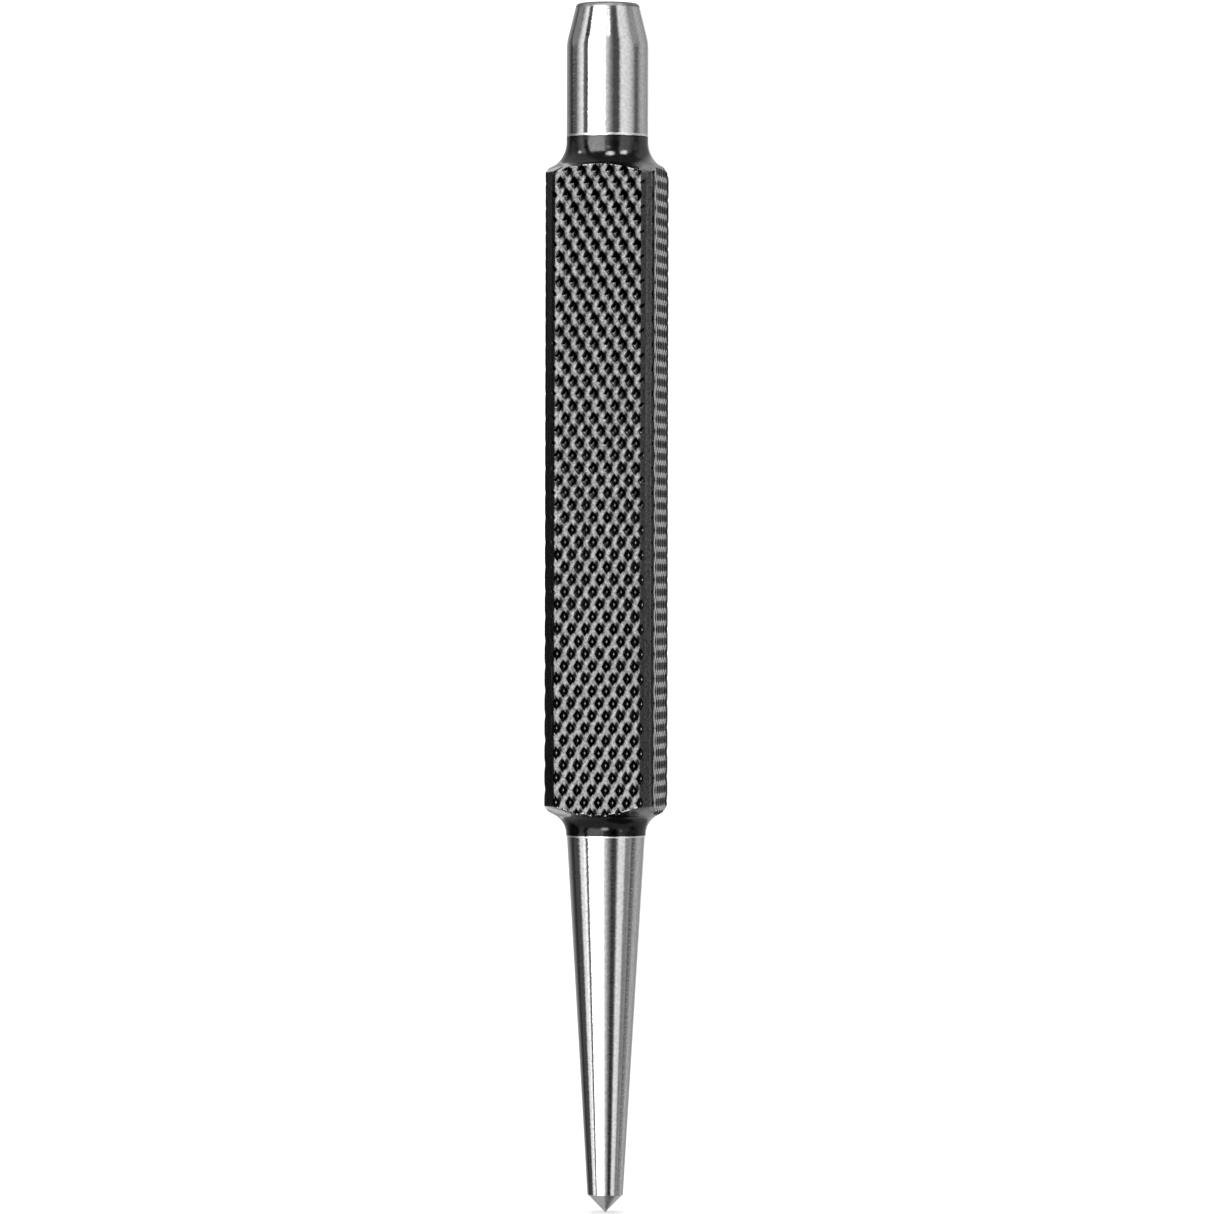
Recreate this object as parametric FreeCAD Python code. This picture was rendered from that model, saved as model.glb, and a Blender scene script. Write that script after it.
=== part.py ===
import FreeCAD, Part
import math
import os

# A square-shank centre punch, standing on its point along +Z. All lengths are in millimetres.
# The punch is one bar of hardened tool steel. It is modelled as six zones stacked along the bar,
# each a solid of its own that meets the next one face to face at a turned or ground boundary:
#   ground_tip, tapered_point, lower_neck, knurled_shank, upper_neck, struck_head
# The origin is the apex of the point, and the shank's flats face +X, -X, +Y and -Y.

# Driving dimensions along the bar
OVERALL_LENGTH = 108.0
TAPER_TOP_Z = 33.67            # where the ground taper meets the black lower neck
LOWER_NECK_STRAIGHT = 0.13     # short cylinder between the taper and the lower neck's fillet
SHANK_FULL_TOP_Z = 92.76       # upper end of the full-size square
HEAD_CYLINDER_TOP_Z = 104.5    # where the head starts to taper in towards the struck face

# Driving radii and widths
TIP_BASE_RADIUS = 1.6
TAPER_TOP_RADIUS = 3.5
LOWER_NECK_RADIUS = 3.57
LOWER_SHOULDER_RADIUS = 4.5    # where the lower fillet runs into the shoulder's chamfer
SHANK_ACROSS_FLATS = 9.85
SHANK_CORNER_RADIUS = 6.25     # the square's corners are turned round on a 12.5 mm bar
UPPER_SHOULDER_RADIUS = 4.6
HEAD_RADIUS = 3.66

# Driving angles, fillets and rounded edges
TIP_INCLUDED_ANGLE = 90.0
LOWER_CHAMFER_ANGLE = 28.5     # from the plane square to the bar
UPPER_CHAMFER_ANGLE = 27.0
LOWER_NECK_FILLET = 1.93
UPPER_NECK_FILLET = 2.68
HEAD_TAPER_ANGLE = 14.0        # half-angle of the head's upper cone
STRUCK_EDGE_FILLET = 0.4

# Heights worked out from the above
TIP_HEIGHT = TIP_BASE_RADIUS / math.tan(math.radians(TIP_INCLUDED_ANGLE / 2))


def fillet_height(fillet_radius, radial_step):
    """Length along the bar of a concave fillet that starts along the bar and rises by radial_step."""
    return math.sqrt(2 * fillet_radius * radial_step - radial_step ** 2)


def chamfer_height(inner_radius, angle):
    """Length along the bar of a shoulder chamfer that runs from inner_radius to the turned corners."""
    return (SHANK_CORNER_RADIUS - inner_radius) * math.tan(math.radians(angle))


LOWER_FILLET_START_Z = TAPER_TOP_Z + LOWER_NECK_STRAIGHT
LOWER_SHOULDER_Z = LOWER_FILLET_START_Z + fillet_height(
    LOWER_NECK_FILLET, LOWER_SHOULDER_RADIUS - LOWER_NECK_RADIUS)
SHANK_FULL_BOTTOM_Z = LOWER_SHOULDER_Z + chamfer_height(LOWER_SHOULDER_RADIUS, LOWER_CHAMFER_ANGLE)
UPPER_SHOULDER_Z = SHANK_FULL_TOP_Z + chamfer_height(UPPER_SHOULDER_RADIUS, UPPER_CHAMFER_ANGLE)
UPPER_FILLET_END_Z = UPPER_SHOULDER_Z + fillet_height(
    UPPER_NECK_FILLET, UPPER_SHOULDER_RADIUS - HEAD_RADIUS)


def point(radius, z):
    """A point of a half profile, drawn in the XZ plane."""
    return FreeCAD.Vector(radius, 0, z)


def straight(*corners):
    """Straight profile edges through (radius, z) corners in order."""
    return [Part.makeLine(point(*a), point(*b)) for a, b in zip(corners, corners[1:])]


def neck_arc(neck_radius, tangent_z, shoulder_radius, shoulder_z, fillet_radius):
    """Concave arc that leaves the neck along the bar and meets the shoulder."""
    centre_r = neck_radius + fillet_radius
    direction = 1 if shoulder_z > tangent_z else -1
    half_angle = math.acos((centre_r - shoulder_radius) / fillet_radius) / 2
    middle = point(centre_r - fillet_radius * math.cos(half_angle),
                   tangent_z + direction * fillet_radius * math.sin(half_angle))
    return Part.Arc(point(neck_radius, tangent_z), middle, point(shoulder_radius, shoulder_z)).toShape()


def turned(edges):
    """The solid of revolution about the bar's axis that a closed half profile makes."""
    wire = Part.Wire(Part.__sortEdges__(edges))
    return Part.Face(wire).revolve(FreeCAD.Vector(0, 0, 0), FreeCAD.Vector(0, 0, 1), 360)


def ground_tip():
    """The sharp conical point that marks the work."""
    return turned(straight((0, 0), (TIP_BASE_RADIUS, TIP_HEIGHT), (0, TIP_HEIGHT), (0, 0)))


def tapered_point():
    """The long ground taper between the tip and the lower neck."""
    return turned(straight((0, TIP_HEIGHT), (TIP_BASE_RADIUS, TIP_HEIGHT),
                           (TAPER_TOP_RADIUS, TAPER_TOP_Z), (0, TAPER_TOP_Z), (0, TIP_HEIGHT)))


def lower_neck():
    """The blackened neck whose fillet flares out to the shank's lower shoulder."""
    edges = straight((LOWER_SHOULDER_RADIUS, LOWER_SHOULDER_Z), (0, LOWER_SHOULDER_Z),
                     (0, TAPER_TOP_Z), (LOWER_NECK_RADIUS, TAPER_TOP_Z),
                     (LOWER_NECK_RADIUS, LOWER_FILLET_START_Z))
    edges.append(neck_arc(LOWER_NECK_RADIUS, LOWER_FILLET_START_Z,
                          LOWER_SHOULDER_RADIUS, LOWER_SHOULDER_Z, LOWER_NECK_FILLET))
    return turned(edges)


def knurled_shank():
    """The square grip: a turned blank with chamfered shoulders, cut down to four flats."""
    blank = turned(straight((0, LOWER_SHOULDER_Z), (LOWER_SHOULDER_RADIUS, LOWER_SHOULDER_Z),
                            (SHANK_CORNER_RADIUS, SHANK_FULL_BOTTOM_Z),
                            (SHANK_CORNER_RADIUS, SHANK_FULL_TOP_Z),
                            (UPPER_SHOULDER_RADIUS, UPPER_SHOULDER_Z),
                            (0, UPPER_SHOULDER_Z), (0, LOWER_SHOULDER_Z)))
    half = SHANK_ACROSS_FLATS / 2
    square_bar = Part.makeBox(SHANK_ACROSS_FLATS, SHANK_ACROSS_FLATS, OVERALL_LENGTH,
                              FreeCAD.Vector(-half, -half, 0))
    return blank.common(square_bar)


def upper_neck():
    """The blackened neck whose fillet runs from the upper shoulder up to the head."""
    edges = straight((HEAD_RADIUS, UPPER_FILLET_END_Z), (0, UPPER_FILLET_END_Z),
                     (0, UPPER_SHOULDER_Z), (UPPER_SHOULDER_RADIUS, UPPER_SHOULDER_Z))
    edges.append(neck_arc(HEAD_RADIUS, UPPER_FILLET_END_Z,
                          UPPER_SHOULDER_RADIUS, UPPER_SHOULDER_Z, UPPER_NECK_FILLET))
    return turned(edges)


def struck_head():
    """The round head that the hammer strikes, coned in at the top, with a rounded edge."""
    face_radius = HEAD_RADIUS - (OVERALL_LENGTH - HEAD_CYLINDER_TOP_Z) * math.tan(
        math.radians(HEAD_TAPER_ANGLE))
    head = turned(straight((0, UPPER_FILLET_END_Z), (HEAD_RADIUS, UPPER_FILLET_END_Z),
                           (HEAD_RADIUS, HEAD_CYLINDER_TOP_Z), (face_radius, OVERALL_LENGTH),
                           (0, OVERALL_LENGTH), (0, UPPER_FILLET_END_Z)))
    struck_edge = [edge for edge in head.Edges
                   if edge.BoundBox.ZMin > HEAD_CYLINDER_TOP_Z and edge.BoundBox.XLength > face_radius
                   and edge.BoundBox.ZLength < STRUCK_EDGE_FILLET / 2]
    return head.makeFillet(STRUCK_EDGE_FILLET, struck_edge)


def main():
    os.makedirs("parts", exist_ok=True)
    for zone in (ground_tip, tapered_point, lower_neck, knurled_shank, upper_neck, struck_head):
        solid = zone()
        assert solid.isValid() and len(solid.Solids) == 1, zone.__name__
        solid.exportStep("parts/" + zone.__name__ + ".step")
        print(zone.__name__, round(solid.Volume, 2), "mm3",
              round(solid.BoundBox.ZMin, 3), "to", round(solid.BoundBox.ZMax, 3))


main()
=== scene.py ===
import math
import random

import bmesh
import bpy
from mathutils import Matrix, Vector


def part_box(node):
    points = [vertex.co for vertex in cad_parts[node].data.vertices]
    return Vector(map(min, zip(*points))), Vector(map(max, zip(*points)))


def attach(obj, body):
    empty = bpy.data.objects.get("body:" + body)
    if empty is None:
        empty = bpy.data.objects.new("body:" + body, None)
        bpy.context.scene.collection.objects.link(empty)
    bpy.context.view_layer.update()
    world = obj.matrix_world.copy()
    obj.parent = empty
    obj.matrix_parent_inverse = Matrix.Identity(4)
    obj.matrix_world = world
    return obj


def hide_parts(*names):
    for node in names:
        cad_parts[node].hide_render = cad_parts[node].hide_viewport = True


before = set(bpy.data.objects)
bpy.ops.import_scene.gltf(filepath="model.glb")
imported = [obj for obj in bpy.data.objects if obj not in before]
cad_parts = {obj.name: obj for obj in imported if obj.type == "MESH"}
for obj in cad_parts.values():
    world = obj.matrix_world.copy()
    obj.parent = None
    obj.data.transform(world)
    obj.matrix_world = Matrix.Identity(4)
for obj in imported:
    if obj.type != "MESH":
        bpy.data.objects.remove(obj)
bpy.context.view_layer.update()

# A square-shank centre punch. The six CAD zones of the bar are each replaced by a finer mesh of the
# same size: turned and ground surfaces, and a shank whose four flats carry a real diamond knurl.
# Lengths are in metres, in the CAD's own frame: the point's apex is the origin, +Z runs up the bar.

MM = 0.001
NEAR = 0.003 * MM               # two CAD heights or radii closer than this are the same
TURN_SEGMENTS = 256             # facets around a turned surface
ARC_STEPS = 40                  # facets along a neck's fillet
ROUND_STEPS = 6                 # facets along a small rounded edge
TURNED_SHARP = 30               # degrees: sharper edges than this aren't smoothed on a turned zone
KNURL_SHARP = 50                # and on the knurled shank


# ---------------------------------------------------------------- sizes, read from the frame

def cad_points(node):
    """(distance from the bar's axis, height) of every vertex of a CAD node."""
    return [(math.hypot(v.co.x, v.co.y), v.co.z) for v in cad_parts[node].data.vertices]


def radius_at(node, height):
    """A CAD node's outer radius at a height where it has an edge."""
    return max(r for r, z in cad_points(node) if abs(z - height) < NEAR)


def heights_at(node, radius):
    """The lowest and highest places where a CAD node has an edge of that radius."""
    heights = [z for r, z in cad_points(node) if abs(r - radius) < NEAR]
    return min(heights), max(heights)


TIP_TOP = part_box("ground_tip")[1].z
TIP_RADIUS = radius_at("ground_tip", TIP_TOP)
TAPER_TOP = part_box("tapered_point")[1].z
TAPER_RADIUS = radius_at("tapered_point", TAPER_TOP)
LOWER_NECK_RADIUS = radius_at("lower_neck", TAPER_TOP)
LOWER_FILLET_START = heights_at("lower_neck", LOWER_NECK_RADIUS)[1]
LOWER_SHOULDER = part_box("lower_neck")[1].z
LOWER_SHOULDER_RADIUS = radius_at("lower_neck", LOWER_SHOULDER)
HALF_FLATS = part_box("knurled_shank")[1].x
CORNER_RADIUS = max(r for r, z in cad_points("knurled_shank"))
SQUARE_BOTTOM, SQUARE_TOP = heights_at("knurled_shank", CORNER_RADIUS)
UPPER_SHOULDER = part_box("upper_neck")[0].z
UPPER_SHOULDER_RADIUS = radius_at("upper_neck", UPPER_SHOULDER)
HEAD_BOTTOM, HEAD_TOP = (corner.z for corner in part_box("struck_head"))
HEAD_RADIUS = radius_at("struck_head", HEAD_BOTTOM)
HEAD_CONE_START = heights_at("struck_head", HEAD_RADIUS)[1]
NEXT_UP, NEXT_RADIUS = min((z, r) for r, z in cad_points("struck_head") if z > HEAD_CONE_START + NEAR)
HEAD_CONE_ANGLE = math.atan2(HEAD_RADIUS - NEXT_RADIUS, NEXT_UP - HEAD_CONE_START)
HEAD_CORNER_RADIUS = HEAD_RADIUS - (HEAD_TOP - HEAD_CONE_START) * math.tan(HEAD_CONE_ANGLE)
STRUCK_FACE_RADIUS = radius_at("struck_head", HEAD_TOP)


# ---------------------------------------------------------------- mesh helpers

def new_piece(node, mesh_bm, sharp_angle=TURNED_SHARP):
    """Turns a bmesh into a piece that stands for a CAD node, smooth except at edges over sharp_angle."""
    bmesh.ops.recalc_face_normals(mesh_bm, faces=mesh_bm.faces)
    mesh = bpy.data.meshes.new(node)
    mesh_bm.to_mesh(mesh)
    mesh_bm.free()
    mesh.shade_smooth()
    mesh.set_sharp_from_angle(angle=math.radians(sharp_angle))
    piece = bpy.data.objects.new(node, mesh)
    bpy.context.scene.collection.objects.link(piece)
    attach(piece, "root")
    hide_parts(node)
    return piece


def turned(profile):
    """A closed solid of revolution from (radius, z) points that run from axis to axis."""
    bm = bmesh.new()
    rings = []
    for radius, z in profile:
        if radius == 0:
            rings.append([bm.verts.new((0, 0, z))])
            continue
        turns = [2 * math.pi * i / TURN_SEGMENTS for i in range(TURN_SEGMENTS)]
        rings.append([bm.verts.new((radius * math.cos(t), radius * math.sin(t), z)) for t in turns])
    for ring, following in zip(rings, rings[1:]):
        for i in range(TURN_SEGMENTS):
            j = (i + 1) % TURN_SEGMENTS
            corners = [ring[i % len(ring)], ring[j % len(ring)],
                       following[j % len(following)], following[i % len(following)]]
            bm.faces.new(list(dict.fromkeys(corners)))
    return bm


def rounded(corners):
    """A profile from (radius, z) corners, where a third number rounds that corner with an arc."""
    points = [Vector(corner[:2]) for corner in corners]
    profile = [tuple(points[0])]
    for before, here, after, corner in zip(points, points[1:], points[2:], corners[1:]):
        if len(corner) == 2:
            profile.append(tuple(here))
            continue
        back, ahead = (before - here).normalized(), (after - here).normalized()
        half = back.angle(ahead) / 2
        centre = here + (back + ahead).normalized() * corner[2] / math.sin(half)
        start = here + back * corner[2] / math.tan(half) - centre
        end = here + ahead * corner[2] / math.tan(half) - centre
        sweep = start.angle(end)
        for step in range(ROUND_STEPS + 1):
            share = step / ROUND_STEPS
            spoke = (start * math.sin((1 - share) * sweep) + end * math.sin(share * sweep)) / math.sin(sweep)
            profile.append(tuple(centre + spoke))
    return profile + [tuple(points[-1])]


def neck_arc(neck_radius, tangent_z, shoulder_radius, shoulder_z):
    """Points of the concave fillet that leaves a neck along the bar and ends at a shoulder."""
    step_out, step_up = shoulder_radius - neck_radius, abs(shoulder_z - tangent_z)
    direction = math.copysign(1, shoulder_z - tangent_z)
    fillet = (step_out ** 2 + step_up ** 2) / (2 * step_out)
    sweep = math.asin(step_up / fillet)
    angles = [sweep * i / ARC_STEPS for i in range(ARC_STEPS + 1)]
    return [(neck_radius + fillet * (1 - math.cos(a)), tangent_z + direction * fillet * math.sin(a))
            for a in angles]


# ---------------------------------------------------------------- turned zones

def ground_tip():
    """The sharp marking cone, very slightly blunter at its apex."""
    apex_radius, apex_height = 0.06 * MM, 0.05 * MM
    profile = [(0, 0), (apex_radius, apex_height), (TIP_RADIUS, TIP_TOP), (0, TIP_TOP)]
    return new_piece("ground_tip", turned(profile))


def tapered_point():
    """The long slender ground taper."""
    profile = [(0, TIP_TOP), (TIP_RADIUS, TIP_TOP), (TAPER_RADIUS, TAPER_TOP), (0, TAPER_TOP)]
    return new_piece("tapered_point", turned(profile))


def lower_neck():
    """The black neck below the shank, with a small round-edged ledge where the ground taper stops."""
    ledge_round = 0.03 * MM
    foot = rounded([(0, TAPER_TOP), (LOWER_NECK_RADIUS, TAPER_TOP, ledge_round),
                    (LOWER_NECK_RADIUS, LOWER_FILLET_START)])[:-1]
    flare = neck_arc(LOWER_NECK_RADIUS, LOWER_FILLET_START, LOWER_SHOULDER_RADIUS, LOWER_SHOULDER)
    return new_piece("lower_neck", turned(foot + flare + [(0, LOWER_SHOULDER)]))


def upper_neck():
    """The black neck between the shank and the head."""
    flare = neck_arc(HEAD_RADIUS, HEAD_BOTTOM, UPPER_SHOULDER_RADIUS, UPPER_SHOULDER)
    return new_piece("upper_neck", turned([(0, HEAD_BOTTOM)] + flare + [(0, UPPER_SHOULDER)]))


def struck_head():
    """The round head, coned in towards the struck face, with soft turned edges."""
    cone_blend = 5 * MM
    edge_turn = math.pi / 2 - HEAD_CONE_ANGLE
    edge_round = (HEAD_CORNER_RADIUS - STRUCK_FACE_RADIUS) / math.tan(edge_turn / 2)
    profile = rounded([(0, HEAD_BOTTOM), (HEAD_RADIUS, HEAD_BOTTOM),
                       (HEAD_RADIUS, HEAD_CONE_START, cone_blend),
                       (HEAD_CORNER_RADIUS, HEAD_TOP, edge_round), (0, HEAD_TOP)])
    return new_piece("struck_head", turned(profile))


# ---------------------------------------------------------------- knurled shank

KNURL_ACROSS = 1.27 * MM        # pit to pit across a flat
KNURL_ALONG = 2.20 * MM         # pit to pit along the bar; every other row is shifted half a pit
KNURL_TILT = math.radians(0.32)  # the knurl runs slightly out of true with the bar
PIT_DEPTH = 0.30 * MM
DEPTH_SPREAD = (0.88, 1.08)     # least and most that one pit's depth is multiplied by
SIDE_DEPTH = 0.7                # and by how much on the two side flats
SHANK_MIDDLE = (SQUARE_BOTTOM + SQUARE_TOP) / 2
# Where a pit lies on the front, right, back and left flats, as (across, along) millimetres from the
# flat's middle
PIT_PLACES = [(0.24, 0.76), (0.31, 0.75), (0.52, 0.30), (-0.40, 0.80)]
SIDE_ROW = SHANK_MIDDLE + PIT_PLACES[1][1] * MM      # height of a row of pits on the right flat
# Rings of one diamond cell, from the ridges' centre line in to the pit's floor:
# (share of the cell across, and along the bar, share of the depth, roundness of the diamond's corners)
RIDGE_RINGS = [(1.0, 1.0, 0.0, 0.0), (0.84, 0.81, 0.01, 0.02), (0.63, 0.57, 0.05, 0.06)]
WALL_RING = (0.47, 0.42, 0.60, 0.12)
FLOOR_RING = (0.23, 0.19, 1.0, 0.40)
RING_POINTS = 12
ROUND_SIZE = 0.8                # size of the circle that a diamond's corners are rounded towards
# How the ridge rings and the wall ring are painted, going round from the diamond's right-hand corner by
# its top, left and bottom: 1 is bright, 0 is plain black oxide, -1 is darkest. This is wear and dirt, and
# painted light and shade: painted highlights left of each pit, painted shade on the pits' upper walls.
# The knurling wheel slipped, so dark drag marks run on from the pit's right-hand sides, over the ridge line.
FRONT_LIGHT_AND_WEAR = [
    [0.8, -0.9, 0.7, 0.7, -0.2, 1.0, 0.8, 0.7, -0.9, 0.7, 1.0, -0.2],
    [0.5, -0.9, 0.7, 0.7, 0.0, 1.0, 0.8, 0.6, 0.0, 0.6, 0.8, -0.5],
    [-0.8, -1.0, 0.1, 0.2, -0.3, 0.1, 0.1, 0.3, 0.2, 0.3, 0.0, -0.8],
    [-1.0, -1.0, -0.8, -0.8, -1.0, -1.0, -0.6, 0.0, 0.0, -0.5, -0.8, -1.0],
]
# Painted light and shade added to that where the wheel slipped most, high on the shank, and taken
# away where it didn't slip: slipping opened the pits to the lower left.
SLIP_LIGHT_AND_SHADE = [
    [0, 0.4, 0, 0, -0.7, 0, 0, 0, 0.4, 0, 0, -0.7],
    [0, 0.4, 0, 0, -0.6, 0, 0, 0, 0.2, 0, 0, -0.5],
    [0, 0, -0.3, -0.3, -0.3, -0.3, -0.2, 0.5, 0.5, 0.1, -0.4, 0],
    [0, 0, 0, 0, 0, 0, 0, 0.8, 0.8, 0.2, 0, 0],
]
SIDE_LIGHT_AND_WEAR = [0.7, 0.6, 0.1, -0.6]     # of the same rings on the side flats, the same all the way round
NO_DRAG_MARKS = [0.0] * RING_POINTS
DRAG_DEPTH = 0.06 * MM          # of a drag mark as dark as it gets
# Where the wheel slipped most, the share of its depth that each point of a pit's wall has lost
PIT_OPENING = [0, 0, 0, 0, 0, 0, 0.2, 0.95, 0.95, 0.5, 0.1, 0]
FLOOR_OPENING = 0.8             # how much of that the floor's ring has lost
CENTRE_RISE = 0.35              # share of its depth that the middle of the floor has lost
PIT_LEAN = 0.04                 # share of half a cell that the floor has moved up the bar
FLOOR_SHADE, SIDE_FLOOR_SHADE = -0.8, -0.5       # of the floor's ring without slipping: painted shade
FLOOR_LIGHTENED, OPENING_LIGHTENED = 0.1, 1.2        # painted light that full slipping adds: everywhere, and where it opened
CENTRE_HIGHLIGHT, CENTRE_SHADED = 1.0, 1.3        # painted highlight in the middle of a clean pit, and what slipping takes off
RUB_TURNED = 0.45               # the turned corners and shoulders
LIT_EDGE, SIDE_LIT_EDGE = 0.25 * MM, 0.7 * MM      # strip of ridges along a flat's left edge, painted bright as a highlight
SLIP_NONE, SLIP_FULL = 8 * MM, 50 * MM      # heights over the lower shoulder where slipping sets in
SLIP_SPREAD = 0.15              # how much slipping varies from pit to pit, up or down
FLAT_EDGE = math.sqrt(CORNER_RADIUS ** 2 - HALF_FLATS ** 2)      # half the width of a flat
SLAB_BACK = CORNER_RADIUS + 0.5 * MM
TURNED_WITHIN = math.radians(8)      # a turned face points this nearly straight out from the bar's axis
CRISP_OVER = math.radians(20)        # least angle of an edge between a turned corner and a flat


def diamond_point(turn, roundness):
    """A point on the unit diamond, turn from 0 to 1 round it, moved part of the way towards a circle."""
    quarter = turn * 4
    corner = int(quarter) % 4
    share = quarter - int(quarter)
    corners = [(1, 0), (0, 1), (-1, 0), (0, -1)]
    (x0, y0), (x1, y1) = corners[corner], corners[(corner + 1) % 4]
    diamond = Vector((x0 + (x1 - x0) * share, y0 + (y1 - y0) * share))
    circle = diamond.normalized() * ROUND_SIZE
    return diamond.lerp(circle, roundness)


def knurl_ring(bm, light_and_wear, centre, ring, depths, light_and_wear_values, lit_edge=0.0, marks=None):
    """One ring of vertices of a cell, each with its value of wear and of painted light and shade. Drag marks
    are cut in a little.
    """
    across, along, sink, roundness = ring
    on_ridge = ring in RIDGE_RINGS
    marks = marks or NO_DRAG_MARKS
    verts = []
    for i, lit_and_worn in enumerate(light_and_wear_values):
        offset = diamond_point(i / RING_POINTS, roundness)
        drag = DRAG_DEPTH * max(0.0, -marks[i]) if on_ridge else 0.0
        vert = bm.verts.new(centre + Vector((offset.x * across * KNURL_ACROSS / 2, sink * depths[i] + drag,
                                             offset.y * along * KNURL_ALONG / 2)))
        vert[light_and_wear] = 1.0 if on_ridge and abs(vert.co.x + FLAT_EDGE) < lit_edge else lit_and_worn
        verts.append(vert)
    return verts


def outer_rings(bm, light_and_wear, centre, depth, slip, side):
    """A cell's ridges and the pit's wall: every ring but the floor's."""
    depths = [depth * (1 - slip * opening) for opening in PIT_OPENING]
    rings = []
    for i, ring in enumerate(RIDGE_RINGS + [WALL_RING]):
        if side:
            light_and_wear_values = [SIDE_LIGHT_AND_WEAR[i]] * RING_POINTS
            rings.append(knurl_ring(bm, light_and_wear, centre, ring, depths, light_and_wear_values, SIDE_LIT_EDGE))
            continue
        light_and_wear_values = [plain + slipped * (2 * slip - 1) for plain, slipped in zip(FRONT_LIGHT_AND_WEAR[i], SLIP_LIGHT_AND_SHADE[i])]
        rings.append(knurl_ring(bm, light_and_wear, centre, ring, depths, light_and_wear_values, LIT_EDGE, FRONT_LIGHT_AND_WEAR[i]))
    return rings


def floor_ring(bm, light_and_wear, centre, depth, slip, side):
    """The ring round the pit's floor, and the vertex in the middle of the floor."""
    plain = SIDE_FLOOR_SHADE if side else FLOOR_SHADE
    light_and_wear_values = [plain + (FLOOR_LIGHTENED + OPENING_LIGHTENED * opening) * slip for opening in PIT_OPENING]
    depths = [depth * (1 - slip ** 2 * FLOOR_OPENING * opening) for opening in PIT_OPENING]
    ring = knurl_ring(bm, light_and_wear, centre, FLOOR_RING, depths, light_and_wear_values)
    middle = bm.verts.new(centre + Vector((0, depth * (1 - CENTRE_RISE * slip ** 2), 0)))
    middle[light_and_wear] = SIDE_FLOOR_SHADE if side else CENTRE_HIGHLIGHT - CENTRE_SHADED * slip ** 2
    return ring, middle


def knurl_cell(bm, light_and_wear, centre, depth, slip, side):
    """One pit with the ridges around it, on a flat that faces -Y. Cells share their outer ring.
    slip is 0 where the pit is clean and its floor centred, and 1 where the wheel slipped most."""
    lean = Vector((0, 0, PIT_LEAN * slip * KNURL_ALONG / 2))
    rings = outer_rings(bm, light_and_wear, centre, depth, slip, side)
    floor, middle = floor_ring(bm, light_and_wear, centre + lean, depth, slip, side)
    rings.append(floor)
    for outer, inner in zip(rings, rings[1:]):
        for i in range(RING_POINTS):
            j = (i + 1) % RING_POINTS
            bm.faces.new((outer[i], outer[j], inner[j], inner[i]))
    for i in range(RING_POINTS):
        bm.faces.new((floor[i], floor[(i + 1) % RING_POINTS], middle))


def knurl_cells(bm, light_and_wear, phase_x, phase_z, flat):
    """All the cells of a flat, each pit a little different, around the flat's middle at z = 0, with some
    to spare on every side."""
    rng = random.Random(flat)
    side = flat % 2 == 1
    rows = math.ceil((UPPER_SHOULDER - LOWER_SHOULDER) / KNURL_ALONG) + 2
    columns = math.ceil(2 * CORNER_RADIUS / KNURL_ACROSS) + 1
    for row in range(-rows, rows + 1):
        for column in range(columns):
            x = (column - columns // 2 + (row % 2) / 2) * KNURL_ACROSS + phase_x
            z = row * KNURL_ALONG / 2 + phase_z
            depth = PIT_DEPTH * rng.uniform(*DEPTH_SPREAD)
            slip = (z + SHANK_MIDDLE - LOWER_SHOULDER - SLIP_NONE) / (SLIP_FULL - SLIP_NONE)
            slip = min(1.0, max(0.0, slip + rng.uniform(-SLIP_SPREAD, SLIP_SPREAD)))
            if side:
                depth, slip = depth * SIDE_DEPTH, 0.0
            knurl_cell(bm, light_and_wear, Vector((x, -HALF_FLATS, z)), depth, slip, side)


def knurled_slab(phase_x, phase_z, flat):
    """A closed slab whose -Y side is the knurled flat; its other sides lie outside the blank.
    flat is 0 for the front, then 1, 2 and 3 for the right, back and left."""
    bm = bmesh.new()
    light_and_wear = bm.verts.layers.float.new("light_and_wear")
    knurl_cells(bm, light_and_wear, phase_x, phase_z, flat)
    bmesh.ops.remove_doubles(bm, verts=bm.verts, dist=NEAR)
    bmesh.ops.rotate(bm, verts=bm.verts, cent=(0, 0, 0), matrix=Matrix.Rotation(KNURL_TILT, 3, "Y"))
    bmesh.ops.translate(bm, verts=bm.verts, vec=(0, 0, SHANK_MIDDLE))
    rim = [edge for edge in bm.edges if edge.is_boundary]
    extruded = bmesh.ops.extrude_edge_only(bm, edges=rim)["geom"]
    for element in extruded:
        if isinstance(element, bmesh.types.BMVert):
            element.co.y = SLAB_BACK
    bmesh.ops.edgeloop_fill(bm, edges=[edge for edge in bm.edges if edge.is_boundary])
    bmesh.ops.recalc_face_normals(bm, faces=bm.faces)
    return bm


def temporary(name, bm):
    """A helper object that a boolean uses and that is removed again."""
    mesh = bpy.data.meshes.new(name)
    bm.to_mesh(mesh)
    bm.free()
    helper = bpy.data.objects.new(name, mesh)
    bpy.context.scene.collection.objects.link(helper)
    return helper


def on_turned_corner(face):
    """Whether a face of the shank belongs to its turned corners."""
    centre = face.calc_center_median()
    outwards = Vector((centre.x, centre.y, 0)).normalized()
    return face.normal.dot(outwards) > math.cos(TURNED_WITHIN)


def crisp_corners(mesh):
    """Marks the edges where the turned corners meet the milled flats as sharp."""
    bm = bmesh.new()
    bm.from_mesh(mesh)
    for edge in bm.edges:
        first, second = edge.link_faces
        meets_flat = on_turned_corner(first) != on_turned_corner(second)
        if meets_flat and edge.calc_face_angle() > CRISP_OVER:
            edge.smooth = False
    bm.to_mesh(mesh)
    bm.free()


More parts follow.
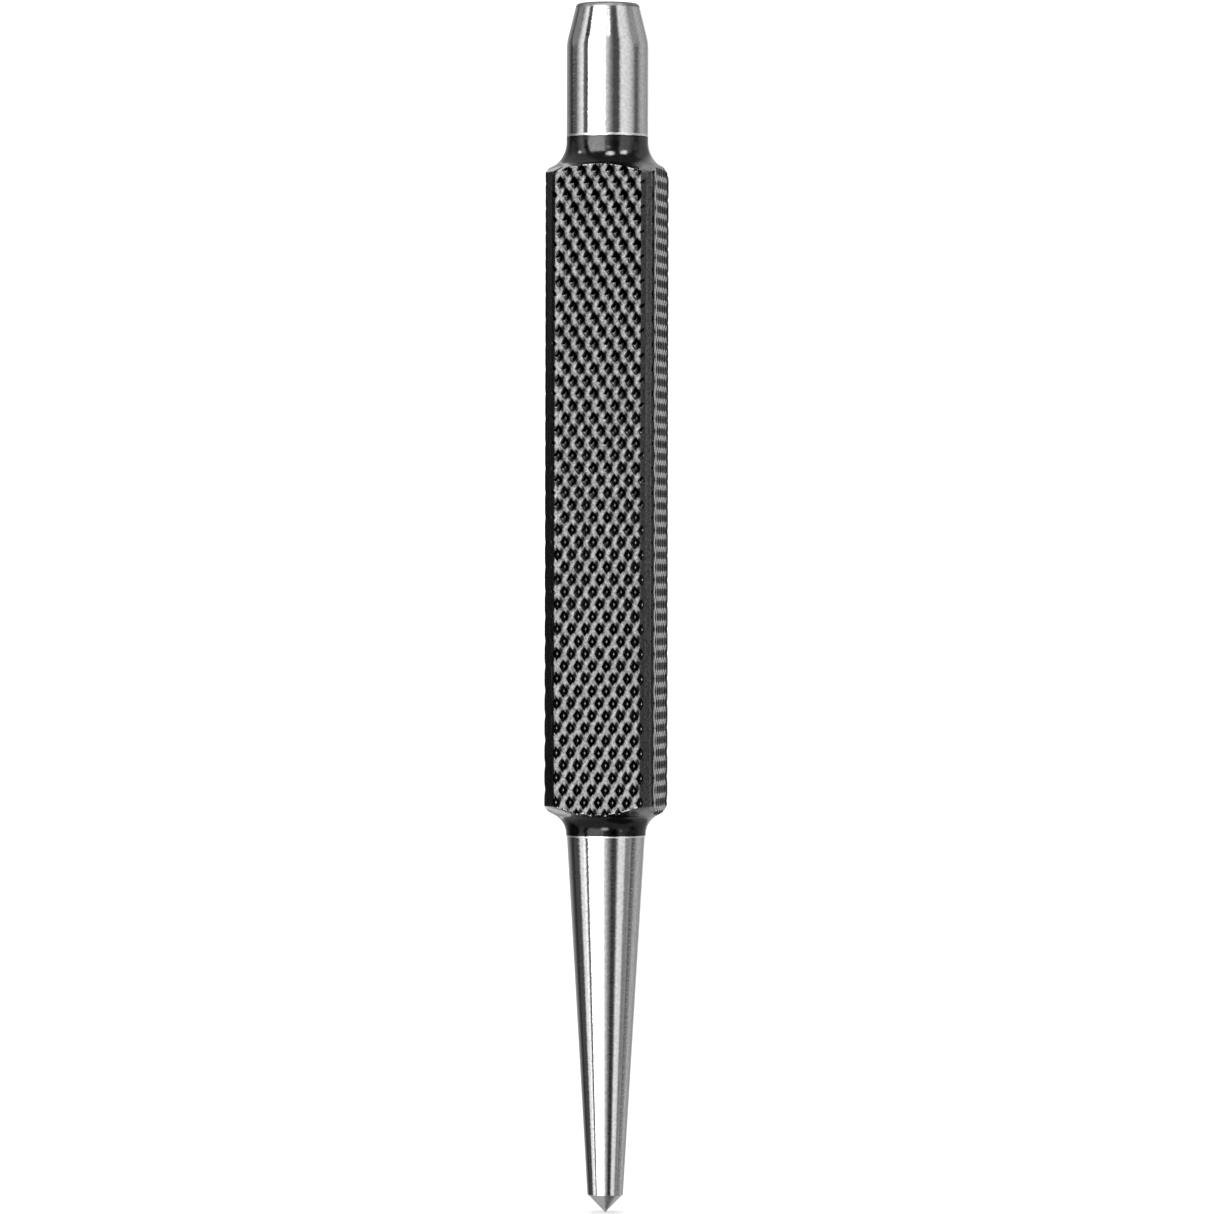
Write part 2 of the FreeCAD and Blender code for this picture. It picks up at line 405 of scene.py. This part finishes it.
def turned_blank():
    """The round bar with chamfered shoulders that the shank is cut from."""
    edge_round = 0.10 * MM
    profile = rounded([(0, LOWER_SHOULDER), (LOWER_SHOULDER_RADIUS, LOWER_SHOULDER),
                       (CORNER_RADIUS, SQUARE_BOTTOM, edge_round), (CORNER_RADIUS, SQUARE_TOP, edge_round),
                       (UPPER_SHOULDER_RADIUS, UPPER_SHOULDER), (0, UPPER_SHOULDER)])
    bm = turned(profile)
    light_and_wear = bm.verts.layers.float.new("light_and_wear")
    for vert in bm.verts:
        vert[light_and_wear] = RUB_TURNED
    bmesh.ops.recalc_face_normals(bm, faces=bm.faces)
    return temporary("blank", bm)


def knurled_shank():
    """The blank, cut down to four knurled flats that leave its turned corners standing."""
    blank = turned_blank()
    helpers = [blank]
    for flat, (phase_x, phase_z) in enumerate(PIT_PLACES):
        slab_bm = knurled_slab(phase_x * MM, phase_z * MM % (KNURL_ALONG / 2), flat)
        bmesh.ops.rotate(slab_bm, verts=slab_bm.verts, cent=(0, 0, 0),
                         matrix=Matrix.Rotation(flat * math.pi / 2, 3, "Z"))
        slab = temporary(f"slab_{flat}", slab_bm)
        cut = blank.modifiers.new(slab.name, "BOOLEAN")
        cut.operation = "INTERSECT"
        cut.solver = "MANIFOLD"
        cut.object = slab
        helpers.append(slab)
    bpy.context.view_layer.update()
    finished = bmesh.new()
    finished.from_object(blank, bpy.context.evaluated_depsgraph_get())
    for helper in helpers:
        bpy.data.objects.remove(helper)
    piece = new_piece("knurled_shank", finished, KNURL_SHARP)
    crisp_corners(piece.data)
    return piece


# ---------------------------------------------------------------- shader helpers

WHITE = (1, 1, 1, 1)            # red, green, blue and opacity
QUARTER_TURN = 0.25             # in whole turns


def add_node(tree, kind, values=None, **settings):
    """One shader node: settings are its properties, values go to its inputs or are linked to them."""
    made = tree.nodes.new("ShaderNode" + kind)
    for key, value in settings.items():
        setattr(made, key, value)
    for key, value in (values or {}).items():
        if isinstance(value, bpy.types.NodeSocket):
            tree.links.new(value, made.inputs[key])
        else:
            made.inputs[key].default_value = value
    return made


def maths(tree, operation, first, second=0.0):
    """The output of a math node."""
    return add_node(tree, "Math", {0: first, 1: second}, operation=operation).outputs[0]


def remap(tree, value, low, high, to_low=0.0, to_high=1.0):
    """value taken smoothly from low..high to to_low..to_high, and held there outside."""
    return add_node(tree, "MapRange", {"Value": value, "From Min": low, "From Max": high,
                                       "To Min": to_low, "To Max": to_high},
                    interpolation_type="SMOOTHSTEP").outputs["Result"]


def blend(tree, factor, first, second):
    """A number that goes from first to second as factor goes from 0 to 1."""
    # inputs 2 and 3 are the Mix node's two plain numbers
    return add_node(tree, "Mix", {"Factor": factor, 2: first, 3: second}, data_type="FLOAT").outputs[0]


def noise(tree, place, stretch, detail=3.0, roughness=0.55):
    """Noise from 0 to 1 with stretch features per metre along X, Y and Z."""
    scaled = add_node(tree, "VectorMath", {0: place, 1: stretch}, operation="MULTIPLY").outputs[0]
    return add_node(tree, "TexNoise", {"Vector": scaled, "Scale": 1.0, "Detail": detail,
                                       "Roughness": roughness}).outputs["Fac"]


def grey(tree, value):
    """A neutral colour as bright as a number from 0 to 1."""
    return add_node(tree, "CombineColor", {"Red": value, "Green": value, "Blue": value}).outputs[0]


def bumps(tree, layers):
    """A normal from (height from 0 to 1, depth in metres) layers, one on top of the other."""
    normal = None
    for height, depth in layers:
        values = {"Height": height, "Strength": 1.0, "Distance": depth}
        if normal:
            values["Normal"] = normal
        normal = add_node(tree, "Bump", values).outputs[0]
    return normal


def new_material(name):
    """An empty node material with the object's own coordinates."""
    material = bpy.data.materials.new(name)
    material.use_nodes = True
    tree = material.node_tree
    tree.nodes.clear()
    place = add_node(tree, "TexCoord").outputs["Object"]
    return material, tree, place


def metal(tree, tone, roughness, normal, anisotropy=0.0, edge_tint=WHITE):
    """The metal shader that ends a material. Anisotropy stretches its reflections along the bar, as lines
    around the bar do, and edge_tint colours only what it reflects at glancing angles."""
    values = {"Base Color": grey(tree, tone), "Metallic": 1.0, "Roughness": roughness, "Normal": normal,
              "Specular Tint": edge_tint}
    if anisotropy:
        values["Anisotropic"] = anisotropy
        values["Anisotropic Rotation"] = QUARTER_TURN
        values["Tangent"] = add_node(tree, "Tangent", direction_type="RADIAL", axis="Z").outputs[0]
    shader = add_node(tree, "BsdfPrincipled", values)
    add_node(tree, "OutputMaterial", {"Surface": shader.outputs[0]})


# ---------------------------------------------------------------- materials

STEEL = 0.62                    # how much light bare steel returns
OXIDE = 0.07                    # and blackened steel
SHADED_OXIDE = OXIDE * 0.4        # and the lower neck, darker as painted shade
SHADE_AND_DIRT = 0.006                    # and the darkest parts of the knurl, mostly its pits: painted shade, with oily dirt
BLACK_BAND = 0.42 * MM          # the blackening laps this far up the head
BAND_WOBBLE = 0.30 * MM         # and its edge wanders by this much
BURR_WIDTH = 0.12 * MM          # widest bare edge between a flat and a chamfer
UPRIGHT = 0.35                  # a flat's faces point up or down by less than this, a chamfer's by more
MIDDLING = (0.3, 0.7)           # where most of a noise's values lie
LATHE_LINES = (500.0, 500.0, 14000.0)        # features per metre across and along the bar


def turning_marks(tree, place):
    """Fine lines around the bar, left by turning and grinding, a few hundredths of a millimetre apart."""
    return noise(tree, place, LATHE_LINES, detail=4.0)


def height_of(tree, place):
    """The height above the point's apex."""
    return add_node(tree, "SeparateXYZ", {0: place}).outputs["Z"]


def band_height(tree, place):
    """The height over the ragged edge that the blackening has on the head, negative below it."""
    wobble = maths(tree, "MULTIPLY", noise(tree, place, (700.0, 700.0, 0.0), detail=4.0), BAND_WOBBLE)
    return maths(tree, "SUBTRACT", maths(tree, "SUBTRACT", height_of(tree, place), wobble),
                 HEAD_BOTTOM + BLACK_BAND - BAND_WOBBLE / 2)


def polished_steel():
    """Bright steel with faint turning lines, for the head and the taper. It turns black where the head
    meets the upper neck, both zones have a lighter, duller strip beside the blackening, a painted
    highlight, and the edge of the struck face is duller, and darker as painted shade."""
    material, tree, place = new_material("polished_steel")
    marks = turning_marks(tree, place)
    ripples = noise(tree, place, (1200.0, 1200.0, 5000.0))
    cloudiness = noise(tree, place, (3500.0, 3500.0, 3500.0))
    over_band = band_height(tree, place)
    on_taper = maths(tree, "LESS_THAN", over_band, SQUARE_BOTTOM - HEAD_BOTTOM)
    bare = maths(tree, "MAXIMUM", remap(tree, over_band, 0.0, 0.03 * MM), on_taper)
    band_rim = maths(tree, "MULTIPLY", remap(tree, over_band, -0.10 * MM, -0.05 * MM),
                     maths(tree, "SUBTRACT", 1.0, bare))
    oxide = blend(tree, band_rim, OXIDE, OXIDE * 0.2)
    # The lighter, duller strips beside the blackening are a painted highlight.
    head_highlight_strip = remap(tree, over_band, 0.26 * MM, 0.18 * MM)
    taper_highlight_strip = remap(tree, height_of(tree, place), TAPER_TOP - 0.14 * MM, TAPER_TOP - 0.08 * MM)
    highlight_strip = blend(tree, on_taper, head_highlight_strip, taper_highlight_strip)
    # The struck face's edge is duller, and darkened as painted shade.
    struck_edge = remap(tree, height_of(tree, place), HEAD_TOP - 0.45 * MM, HEAD_TOP - 0.35 * MM)
    highlight_strip_tone, highlight_strip_roughness = 0.9, 0.4
    struck_shade_tone, struck_roughness = STEEL * 0.45, 0.45
    oxide_roughness = 0.22
    steel = remap(tree, cloudiness, *MIDDLING, STEEL * 0.90, STEEL * 1.10)
    steel = blend(tree, struck_edge, blend(tree, highlight_strip, steel, highlight_strip_tone), struck_shade_tone)
    polish = blend(tree, highlight_strip, remap(tree, marks, *MIDDLING, 0.05, 0.11), highlight_strip_roughness)
    polish = blend(tree, struck_edge, polish, struck_roughness)
    tone = blend(tree, bare, oxide, steel)
    roughness = blend(tree, bare, oxide_roughness, polish)
    normal = bumps(tree, [(ripples, 0.011 * MM), (marks, 0.001 * MM)])
    metal(tree, tone, roughness, normal, anisotropy=0.5)
    return material


def ground_steel():
    """The freshly ground cone of the point: less shiny than the taper, with lines around it."""
    material, tree, place = new_material("ground_steel")
    marks = noise(tree, place, (900.0, 900.0, 14000.0), detail=4.0)
    tone = remap(tree, marks, *MIDDLING, STEEL * 0.80, STEEL * 0.95)
    metal(tree, tone, 0.26, bumps(tree, [(marks, 0.004 * MM)]), anisotropy=0.6)
    return material


def black_oxide(name, oxide_tone):
    """Oiled black oxide over turned steel, with a painted highlight in bare steel's tone on the rim beside
    the taper.
    """
    material, tree, place = new_material(name)
    marks = turning_marks(tree, place)
    mottle = noise(tree, place, (2500.0, 2500.0, 2500.0))
    # The rim over the taper takes bare steel's tone: a painted highlight.
    rim = remap(tree, height_of(tree, place), TAPER_TOP + 0.06 * MM, TAPER_TOP + 0.04 * MM)
    oxide = remap(tree, mottle, *MIDDLING, oxide_tone * 0.85, oxide_tone * 1.15)
    tone = blend(tree, rim, oxide, STEEL)
    roughness = remap(tree, mottle, *MIDDLING, 0.08, 0.14)
    normal = bumps(tree, [(mottle, 0.006 * MM), (marks, 0.002 * MM)])
    metal(tree, tone, roughness, normal, anisotropy=0.3)
    return material


def burr(tree, place, mottle):
    """1 along the bare edge that the knurling raised where each flat runs out into a chamfer, else 0.
    A flat ends where the distance from the bar's axis and the height fit the chamfer's cone."""
    out = maths(tree, "SQRT", maths(tree, "ADD", maths(tree, "POWER", place.outputs["X"], 2.0),
                                    maths(tree, "POWER", place.outputs["Y"], 2.0)))
    width = remap(tree, mottle, 0.40, 0.65, 0.0, BURR_WIDTH)
    edges = []
    for shoulder, shoulder_radius, full in ((LOWER_SHOULDER, LOWER_SHOULDER_RADIUS, SQUARE_BOTTOM),
                                            (UPPER_SHOULDER, UPPER_SHOULDER_RADIUS, SQUARE_TOP)):
        slope = (full - shoulder) / (CORNER_RADIUS - shoulder_radius)
        chamfer = maths(tree, "MULTIPLY", maths(tree, "SUBTRACT", out, shoulder_radius), slope)
        gap = maths(tree, "SUBTRACT", maths(tree, "SUBTRACT", place.outputs["Z"], shoulder), chamfer)
        edges.append(maths(tree, "LESS_THAN", maths(tree, "ABSOLUTE", gap), width))
    faces = add_node(tree, "SeparateXYZ", {0: add_node(tree, "NewGeometry").outputs["True Normal"]})
    on_flat = maths(tree, "LESS_THAN", maths(tree, "ABSOLUTE", faces.outputs["Z"]), UPRIGHT)
    return maths(tree, "MULTIPLY", maths(tree, "MAXIMUM", *edges), on_flat)


def glancing_shade_bands(tree, place):
    """Painted light and shade: what the side flats keep of a glancing reflection, most between the rows of
    pits and along the near edge, least along the far edge. Y runs across these flats, and its negative end
    is the near one."""
    row = maths(tree, "DIVIDE", maths(tree, "SUBTRACT", place.outputs["Z"], SIDE_ROW), KNURL_ALONG / 2)
    between_rows = remap(tree, maths(tree, "PINGPONG", row, 0.5), 0.22, 0.38, 0.25, 1.0)
    near_edge = remap(tree, place.outputs["Y"], -3.0 * MM, -1.6 * MM, 1.0, 0.0)
    far_edge = remap(tree, place.outputs["Y"], 2.3 * MM, 3.4 * MM, 1.0, 0.1)
    return maths(tree, "MULTIPLY", maths(tree, "MAXIMUM", between_rows, near_edge), far_edge)


def knurled_black_oxide():
    """Black oxide on the shank, painted light and dark part by part: painted shade with dirt in the pits,
    plain on the turned corners, wear and painted highlights on the ridges. The side flats are painted
    brighter, a painted sheen, and banded by painted shade when seen at a glancing angle."""
    material, tree, place = new_material("knurled_black_oxide")
    split = add_node(tree, "SeparateXYZ", {0: place})
    light_and_wear = add_node(tree, "Attribute", attribute_name="light_and_wear").outputs["Fac"]
    side = maths(tree, "GREATER_THAN", maths(tree, "ABSOLUTE", split.outputs["X"]), HALF_FLATS - PIT_DEPTH)
    mottle = noise(tree, place, (5000.0, 5000.0, 5000.0), detail=4.0)
    # The side flats' bright tone is raised as a painted sheen.
    side_painted_brighter, burr_tone = 2.4, STEEL * 0.4
    share_of_plain, share_per_value = 0.25, 0.7
    plain_roughness = 0.12
    # The tone goes from the darkest to the bright one by each point's value: painted shade in the pits and
    # painted highlights on the ridges, with their wear and dirt.
    lit_and_worn = maths(tree, "MULTIPLY", remap(tree, mottle, 0.25, 0.75, 0.08, 0.25),
                   blend(tree, side, 1.0, side_painted_brighter))
    lit_and_worn_share = maths(tree, "ADD", maths(tree, "MULTIPLY", light_and_wear, share_per_value), share_of_plain)
    tone = blend(tree, lit_and_worn_share, SHADE_AND_DIRT, lit_and_worn)
    tone = blend(tree, burr(tree, split, mottle), tone, burr_tone)
    roughness = blend(tree, light_and_wear, plain_roughness, remap(tree, mottle, *MIDDLING, 0.20, 0.30))
    glancing_shade = blend(tree, side, 1.0, glancing_shade_bands(tree, split))
    # Where a point is painted dark, it also reflects less at glancing angles: painted shade.
    edge_tint = grey(tree, maths(tree, "MULTIPLY", glancing_shade, remap(tree, light_and_wear, -0.9, 0.0, 0.1, 1.0)))
    metal(tree, tone, roughness, bumps(tree, [(mottle, 0.008 * MM)]), edge_tint=edge_tint)
    return material


# ---------------------------------------------------------------- stage: floor, light and camera

VIEW_AZIMUTH = math.radians(9.7)     # the camera stands this far round from -Y towards +X
VIEW_DISTANCE = 631 * MM
VIEW_HEIGHT = 57.6 * MM
VIEW_AIM_HEIGHT = 54.1 * MM
VIEW_AIM_RIGHT = 0.045 * MM          # the bar stands this far left of the picture's middle
VIEW_ROLL = math.radians(0.126)
LENS, SENSOR = 209.4, 36.0           # millimetres
TO_CAMERA = Vector((math.sin(VIEW_AZIMUTH), -math.cos(VIEW_AZIMUTH), 0))
TO_RIGHT = Vector((math.cos(VIEW_AZIMUTH), math.sin(VIEW_AZIMUTH), 0))

# The room that the steel reflects, all the way round at the punch's height, as (angle, brightness).
# Angles are in degrees from the camera's side, positive to the viewer's right.
ROOM = [
    (-180, 0.60), (-160, 0.50), (-124, 0.06), (-112, 0.03),      # pale wall behind, then a dark corner
    (-98, 0.20), (-80, 1.20), (-74, 1.20), (-70, 0.20),          # narrow softbox on the left
    (-58, 0.08), (-55, 3.50), (-10, 3.50), (-6, 1.10),           # key softbox
    (8, 0.35), (17, 0.10), (31, 0.10),                           # dark gap beside the camera
    (40, 1.15), (62, 0.98), (74, 0.60), (85, 0.12),              # right softbox and its spill
    (91, 0.12), (104, 0.50), (114, 0.60), (135, 0.45),           # grey wall, right
    (152, 0.38), (157, 0.88), (166, 0.88), (171, 0.55), (180, 0.60),     # lit strip of the pale wall
]
ROOM_TOP, CEILING_START, CEILING = 42, 52, 0.16                  # degrees up, degrees up, brightness
ROOM_FOOT, GROUND_START, GROUND = -30, -45, 0.60
# Lamps, glows and dark flags in front of that room, as (angle, degrees up, radius, feather, brightness).
# A later one lies over an earlier one. Each part of the punch mirrors its own range of heights: the
# head's cone about 10 to 32 degrees up, the taper 3 to 12 degrees down, and the necks' fillets anything
# from there to straight up or down.
SPOTS = [
    # three high lamps and two low ones, for the highlights on the upper and the lower neck
    (-93, 38, 2, 4, 10.0),
    (10, 58, 2, 9, 10.0),
    (56, 48, 2, 8, 10.0),
    (-4, -37, 3, 8, 12.0),
    (45, -24, 2, 3, 5.0),
    # a dark flag low down on the right, for the lower neck
    (107, -72, 14, 10, 0.12),
    # glows behind the punch, for the shank's chamfered shoulders
    (-168, 25, 4, 5, 1.5),
    (-168, -25, 4, 5, 1.5),
    (155, 38, 8, 14, 1.0),
    # soft patches at both sides, for the head's cone, and a higher one for the upper neck
    (-111, 18, 10, 6, 0.30),
    (88, 20, 8, 8, 0.40),
    (-125, 52, 12, 20, 0.50),
    # flags and glows low down, for the taper
    (-100, -17, 13, 5, 0.09),
    (-68, -9, 2.5, 4, 1.70),
    (-57, -10, 2.5, 2, 0.12),
    (22, -18, 6, 4, 0.02),
    (68, -10, 5, 7, 0.32),
    (91, -15, 5, 3, 0.45),
    # a small flag and a small lamp, for the head's cone
    (-67, 27, 3, 3, 0.05),
    (2, 32, 2, 5, 2.5),
]
BRIGHTEST = 4.0                      # the room's ramp holds brightnesses as shares of this
BACKDROP = 1.3                       # brightness behind the object, and of the light on the floor


def room_direction(angle, up):
    """The direction at an angle from the camera's side and so many degrees up."""
    turn, rise = math.radians(angle), math.radians(up)
    level = TO_CAMERA * math.cos(turn) + TO_RIGHT * math.sin(turn)
    return level * math.cos(rise) + Vector((0, 0, math.sin(rise)))


def share_along(tree, direction, axis):
    """How far a direction points along an axis."""
    return add_node(tree, "VectorMath", {0: direction, 1: axis}, operation="DOT_PRODUCT").outputs["Value"]


def room_ramp(tree, angle):
    """Brightness of the room by angle in radians from the camera's side."""
    turn = maths(tree, "ADD", maths(tree, "DIVIDE", angle, 2 * math.pi), 0.5)
    ramp = add_node(tree, "ValToRGB", {"Fac": turn})
    elements = ramp.color_ramp.elements
    for degrees, _ in ROOM[1:-1]:
        elements.new((degrees + 180) / 360)
    for element, (_, brightness) in zip(elements, ROOM):
        element.color = (brightness / BRIGHTEST,) * 3 + (1,)
    return maths(tree, "MULTIPLY", ramp.outputs[0], BRIGHTEST)


def studio_world():
    """White behind the object, soft even light on the floor, and the room in reflections."""
    world = bpy.data.worlds.new("studio")
    bpy.context.scene.world = world
    world.use_nodes = True
    world.cycles.sampling_method = "NONE"        # rays find the room by themselves
    tree = world.node_tree
    tree.nodes.clear()
    direction = add_node(tree, "TexCoord").outputs["Generated"]
    angle = maths(tree, "ARCTAN2", share_along(tree, direction, TO_RIGHT),
                  share_along(tree, direction, TO_CAMERA))
    rise = maths(tree, "ARCSINE", add_node(tree, "SeparateXYZ", {0: direction}).outputs["Z"])
    room = room_ramp(tree, angle)
    above = remap(tree, rise, math.radians(ROOM_TOP), math.radians(CEILING_START))
    room = blend(tree, above, room, CEILING)
    below = remap(tree, rise, math.radians(ROOM_FOOT), math.radians(GROUND_START))
    room = blend(tree, below, room, GROUND)
    for spot_angle, up, radius, feather, brightness in SPOTS:
        toward = share_along(tree, direction, room_direction(spot_angle, up))
        rim, core = math.cos(math.radians(radius + feather)), math.cos(math.radians(radius))
        room = blend(tree, remap(tree, toward, rim, core), room, brightness)
    mirrored = add_node(tree, "LightPath").outputs["Is Glossy Ray"]
    brightness = blend(tree, mirrored, BACKDROP, room)
    background = add_node(tree, "Background", {"Color": WHITE, "Strength": brightness})
    add_node(tree, "OutputWorld", {"Surface": background.outputs[0]})


def pale_floor():
    """A plain white floor just under the point. The polished steel doesn't mirror it."""
    reach, height = 4.0, -0.02 * MM
    bm = bmesh.new()
    corners = [(-reach, -reach), (reach, -reach), (reach, reach), (-reach, reach)]
    bm.faces.new([bm.verts.new((x, y, height)) for x, y in corners])
    mesh = bpy.data.meshes.new("floor")
    bm.to_mesh(mesh)
    bm.free()
    floor = bpy.data.objects.new("floor", mesh)
    bpy.context.scene.collection.objects.link(floor)
    material, tree, _ = new_material("floor")
    shader = add_node(tree, "BsdfDiffuse", {"Color": (0.9, 0.9, 0.9, 1)})
    add_node(tree, "OutputMaterial", {"Surface": shader.outputs[0]})
    mesh.materials.append(material)
    floor.visible_glossy = False


def overhead_light():
    """One large soft lamp above, for the floor."""
    lamp = bpy.data.lights.new("overhead", "AREA")
    lamp.shape = "DISK"
    lamp.size = 1.0
    lamp.energy = 1.0
    light = bpy.data.objects.new("overhead", lamp)
    light.location = (0, 0, 1.2)
    light.visible_glossy = False
    bpy.context.scene.collection.objects.link(light)


def camera():
    """The camera, nearly level with the middle of the punch, a little round to its right."""
    lens = bpy.data.cameras.new("camera")
    lens.lens = LENS
    lens.sensor_width = SENSOR
    view = bpy.data.objects.new("camera", lens)
    view.location = TO_CAMERA * VIEW_DISTANCE + Vector((0, 0, VIEW_HEIGHT))
    aim_point = TO_RIGHT * VIEW_AIM_RIGHT + Vector((0, 0, VIEW_AIM_HEIGHT))
    aim = (aim_point - view.location).to_track_quat("-Z", "Y")
    roll = Matrix.Rotation(VIEW_ROLL, 4, "Z")
    view.matrix_world = Matrix.Translation(view.location) @ aim.to_matrix().to_4x4() @ roll
    bpy.context.scene.collection.objects.link(view)
    bpy.context.scene.camera = view


def main():
    """Builds every piece, gives it its material, and sets the stage."""
    polished, ground, knurled = polished_steel(), ground_steel(), knurled_black_oxide()
    # The lower neck's copy of the black oxide is darker: painted shade.
    upper_oxide, lower_oxide = black_oxide("black_oxide", OXIDE), black_oxide("shaded_black_oxide", SHADED_OXIDE)
    pieces = [(ground_tip, ground), (tapered_point, polished), (lower_neck, lower_oxide),
              (knurled_shank, knurled), (upper_neck, upper_oxide), (struck_head, polished)]
    for build, material in pieces:
        build().data.materials.append(material)
    studio_world()
    pale_floor()
    overhead_light()
    camera()
    bpy.context.scene.view_settings.view_transform = "Standard"


main()
bpy.context.view_layer.update()
